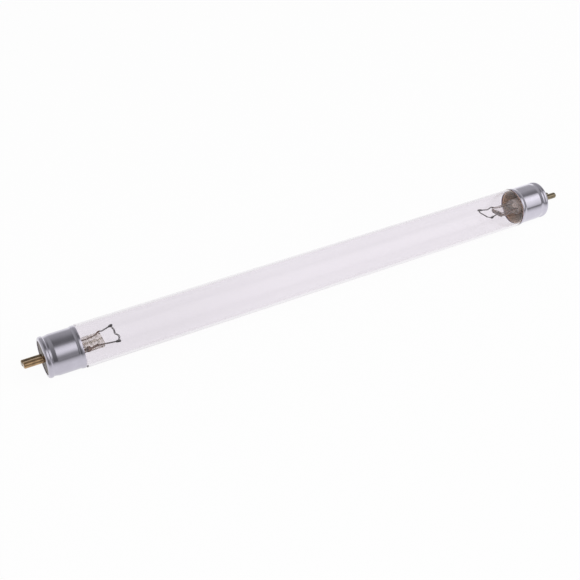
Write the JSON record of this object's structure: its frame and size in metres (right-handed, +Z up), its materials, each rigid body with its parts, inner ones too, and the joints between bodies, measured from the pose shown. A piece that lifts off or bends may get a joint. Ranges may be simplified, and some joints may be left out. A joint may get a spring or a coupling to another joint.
{
  "type": "uv sterilizer lamp",
  "caption": "Clear straight ultraviolet lamp tube with aluminium pin caps, sealed glass stems, lead wires and coiled filaments.",
  "frame": {"origin": "centre of the lamp, on the tube's axis, midway between the cap faces", "axes": "+X along the tube from the left cap to the right cap, +Z up, -Y towards the near pins"},
  "size_m": [0.2264, 0.0158, 0.0158],
  "materials": {
    "glass": "clear, smooth",
    "cap_metal": "bright drawn",
    "cement": "matt basing cement",
    "insulator": "pressed resin board",
    "pin_metal": "bright, slightly dulled",
    "lead_wire": "plated wire",
    "filament": "coated tungsten"
  },
  "bodies": {
    "root": {"glass_tube": "glass", "stems": "glass", "end_caps": "cap_metal", "cement_rings": "cement", "insulators": "insulator", "left_near_pin": "pin_metal", "left_far_pin": "pin_metal", "right_near_pin": "pin_metal", "right_far_pin": "pin_metal", "left_near_lead": "lead_wire", "left_far_lead": "lead_wire", "right_near_lead": "lead_wire", "right_far_lead": "lead_wire", "left_filament": "filament", "right_filament": "filament"}
  },
  "joints": []
}
